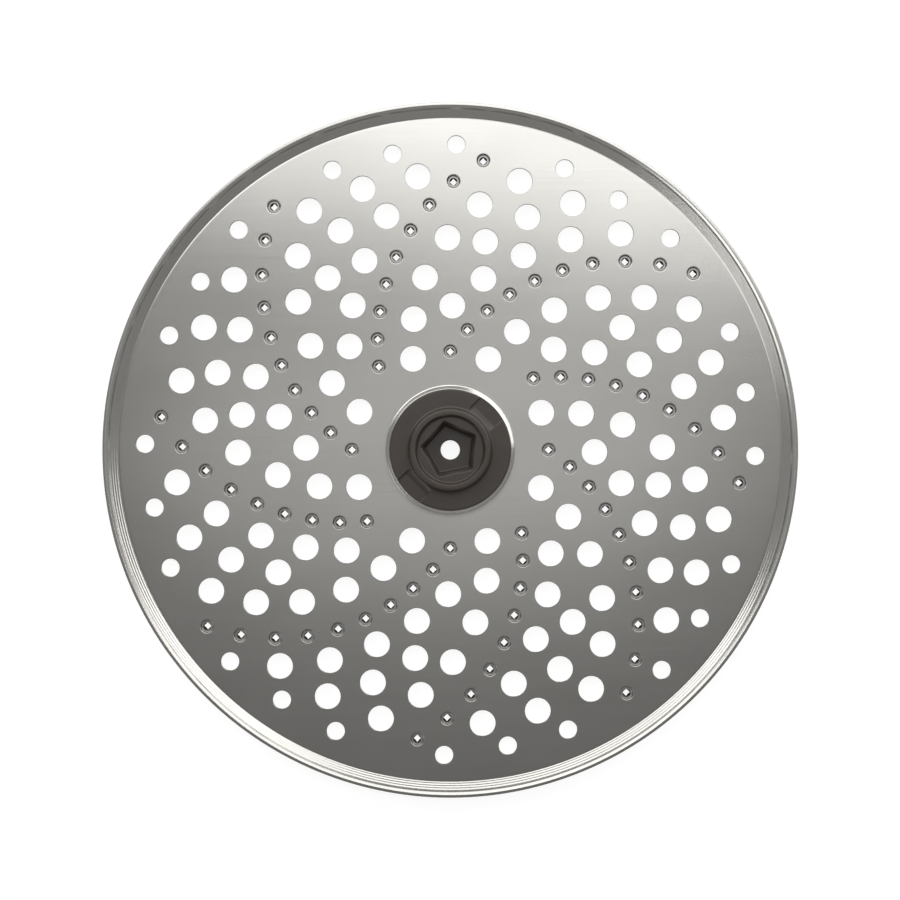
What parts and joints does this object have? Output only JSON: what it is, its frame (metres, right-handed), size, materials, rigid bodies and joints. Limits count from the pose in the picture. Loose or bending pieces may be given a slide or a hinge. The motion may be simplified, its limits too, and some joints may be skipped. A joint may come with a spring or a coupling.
{
  "type": "food processor grating disc",
  "caption": "Round stainless grating disc with curved arms of pierced teeth between rows of round holes, a raised rim and a moulded hub with a polygonal drive socket.",
  "frame": {"origin": "on the disc's axis, in the plane that the hub's cap stands on", "axes": "+Z along the disc's axis, out of the drive socket; +X and +Y in the plane of the sheet, +X through the first tooth of an arm"},
  "size_m": [0.1728, 0.1728, 0.0086],
  "materials": {
    "stainless_sheet": "satin stainless sheet",
    "hub_plastic": "dark warm grey moulded plastic"
  },
  "bodies": {
    "root": {"grating_disc": "stainless_sheet", "drive_hub": "hub_plastic"}
  },
  "joints": []
}
